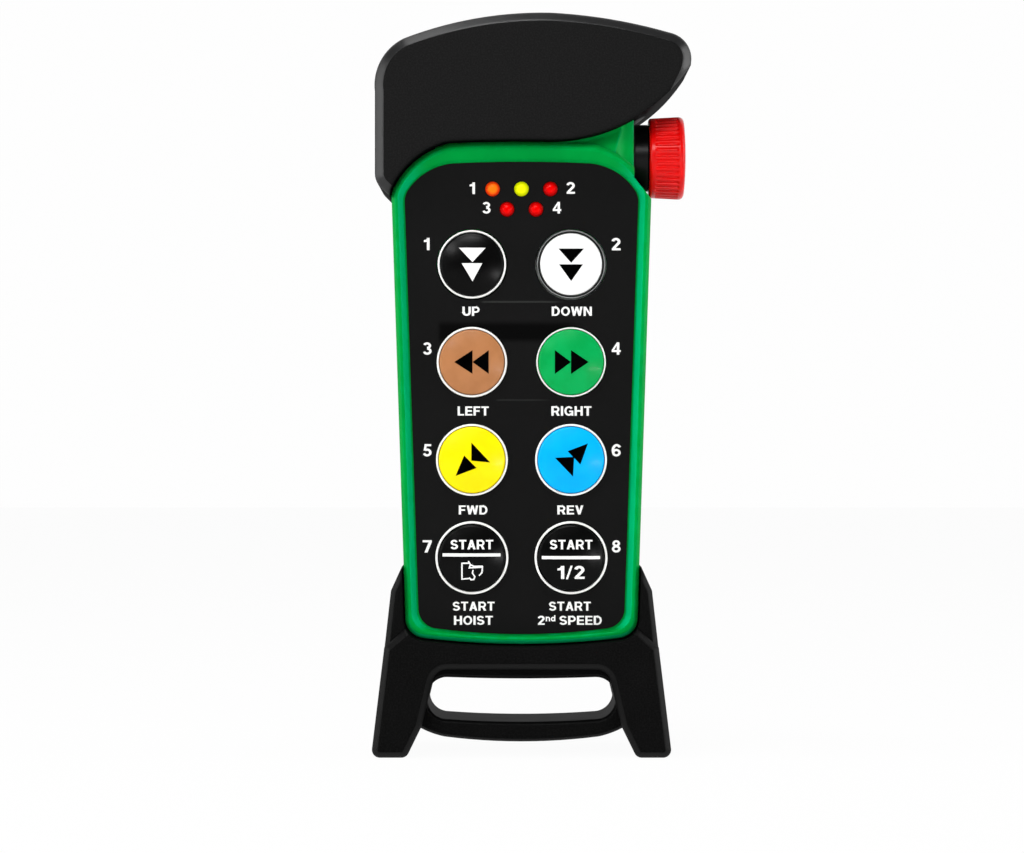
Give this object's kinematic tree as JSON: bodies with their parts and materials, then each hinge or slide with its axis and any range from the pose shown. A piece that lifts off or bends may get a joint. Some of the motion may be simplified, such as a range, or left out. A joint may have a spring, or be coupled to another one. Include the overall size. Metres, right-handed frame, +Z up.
{
  "type": "industrial radio remote control",
  "caption": "Handheld radio transmitter with two columns of round push buttons, signal lenses, a red stop knob under an arched guard, and a lower guard with feet and a strap slot",
  "frame": {"origin": "centre of the bounding box on the plane that the two feet stand on", "axes": "+Z up along the grip, -Y out of the button panel, +X to the stop knob's side"},
  "size_m": [0.0957, 0.048, 0.2232],
  "materials": {
    "housing_green": "smooth moulded, semi-gloss",
    "housing_black": "fine texture",
    "guard_black": "fine grain faces, smoother bevels",
    "panel_black": "matte film",
    "ring_white": "satin",
    "cap_black": "gloss",
    "cap_white": "gloss",
    "cap_tan": "gloss",
    "cap_green": "gloss",
    "cap_yellow": "gloss",
    "cap_blue": "gloss",
    "knob_red": "semi-gloss",
    "collar_black": "smooth",
    "seal_rubber": "matte",
    "lens_orange": "clear tinted",
    "lens_lime": "clear tinted",
    "lens_red": "clear tinted",
    "light_chip": "smooth",
    "board_green": "solder mask",
    "chip_black": "moulded",
    "metal_can": "plated",
    "switch_body": "moulded",
    "cell_wrap": "printed film, plain",
    "contact_metal": "plated",
    "screw_steel": "zinc plated",
    "plunger_grey": "moulded"
  },
  "bodies": {
    "handset": {"front_shell": "housing_green", "rear_shell": "housing_black", "keypad_overlay": "panel_black", "button_rings": "ring_white", "top_guard": "guard_black", "lower_guard": "guard_black", "shell_gasket": "seal_rubber", "keypad_seal": "seal_rubber", "main_board": "board_green", "light_sources": "light_chip", "radio_module": "metal_can", "microcontroller": "chip_black", "timing_crystal": "metal_can", "sounder": "chip_black", "antenna": "board_green", "battery_cell_1": "cell_wrap", "battery_cell_2": "cell_wrap", "battery_cell_3": "cell_wrap", "battery_contacts_low": "contact_metal", "battery_contacts_high": "contact_metal", "battery_cover": "housing_black", "battery_gasket": "seal_rubber", "battery_cover_screws": "screw_steel", "shell_screws": "screw_steel", "board_screws": "screw_steel", "top_guard_screws": "screw_steel", "lower_guard_screws": "screw_steel", "stop_seal": "seal_rubber", "stop_collar": "collar_black", "stop_nut": "plunger_grey", "stop_contacts": "switch_body", "signal_lens_1": "lens_orange", "signal_lens_2": "lens_lime", "signal_lens_3": "lens_red", "signal_lens_4": "lens_red", "signal_lens_5": "lens_red", "switch_up": "switch_body", "switch_down": "switch_body", "switch_left": "switch_body", "switch_right": "switch_body", "switch_forward": "switch_body", "switch_reverse": "switch_body", "switch_start": "switch_body", "switch_speed": "switch_body"},
    "up_button": {"button_up": "cap_black"},
    "down_button": {"button_down": "cap_white"},
    "left_button": {"button_left": "cap_tan"},
    "right_button": {"button_right": "cap_green"},
    "forward_button": {"button_forward": "cap_yellow"},
    "reverse_button": {"button_reverse": "cap_blue"},
    "start_button": {"button_start": "cap_black"},
    "speed_button": {"button_speed": "cap_black"},
    "stop_slider": {"stop_plunger": "plunger_grey"},
    "stop_head": {"stop_knob": "knob_red"}
  },
  "joints": [
    {"name": "press_up", "type": "slide", "parent": "handset", "child": "up_button", "axis": [0, 1, 0], "range_m": [0, 0.002], "stiffness_N_per_m": 1500},
    {"name": "press_down", "type": "slide", "parent": "handset", "child": "down_button", "axis": [0, 1, 0], "range_m": [0, 0.002], "stiffness_N_per_m": 1500},
    {"name": "press_left", "type": "slide", "parent": "handset", "child": "left_button", "axis": [0, 1, 0], "range_m": [0, 0.002], "stiffness_N_per_m": 1500},
    {"name": "press_right", "type": "slide", "parent": "handset", "child": "right_button", "axis": [0, 1, 0], "range_m": [0, 0.002], "stiffness_N_per_m": 1500},
    {"name": "press_forward", "type": "slide", "parent": "handset", "child": "forward_button", "axis": [0, 1, 0], "range_m": [0, 0.002], "stiffness_N_per_m": 1500},
    {"name": "press_reverse", "type": "slide", "parent": "handset", "child": "reverse_button", "axis": [0, 1, 0], "range_m": [0, 0.002], "stiffness_N_per_m": 1500},
    {"name": "press_start", "type": "slide", "parent": "handset", "child": "start_button", "axis": [0, 1, 0], "range_m": [0, 0.002], "stiffness_N_per_m": 1500},
    {"name": "press_speed", "type": "slide", "parent": "handset", "child": "speed_button", "axis": [0, 1, 0], "range_m": [0, 0.002], "stiffness_N_per_m": 1500},
    {"name": "stop_press", "type": "slide", "parent": "handset", "child": "stop_slider", "axis": [-1, 0, 0], "range_m": [0, 0.004]},
    {"name": "stop_twist", "type": "hinge", "parent": "stop_slider", "child": "stop_head", "pos_m": [0.03995, 0, 0.1812], "axis": [-1, 0, 0], "range_deg": [0, 45], "stiffness_Nm_per_rad": 0.02}
  ]
}
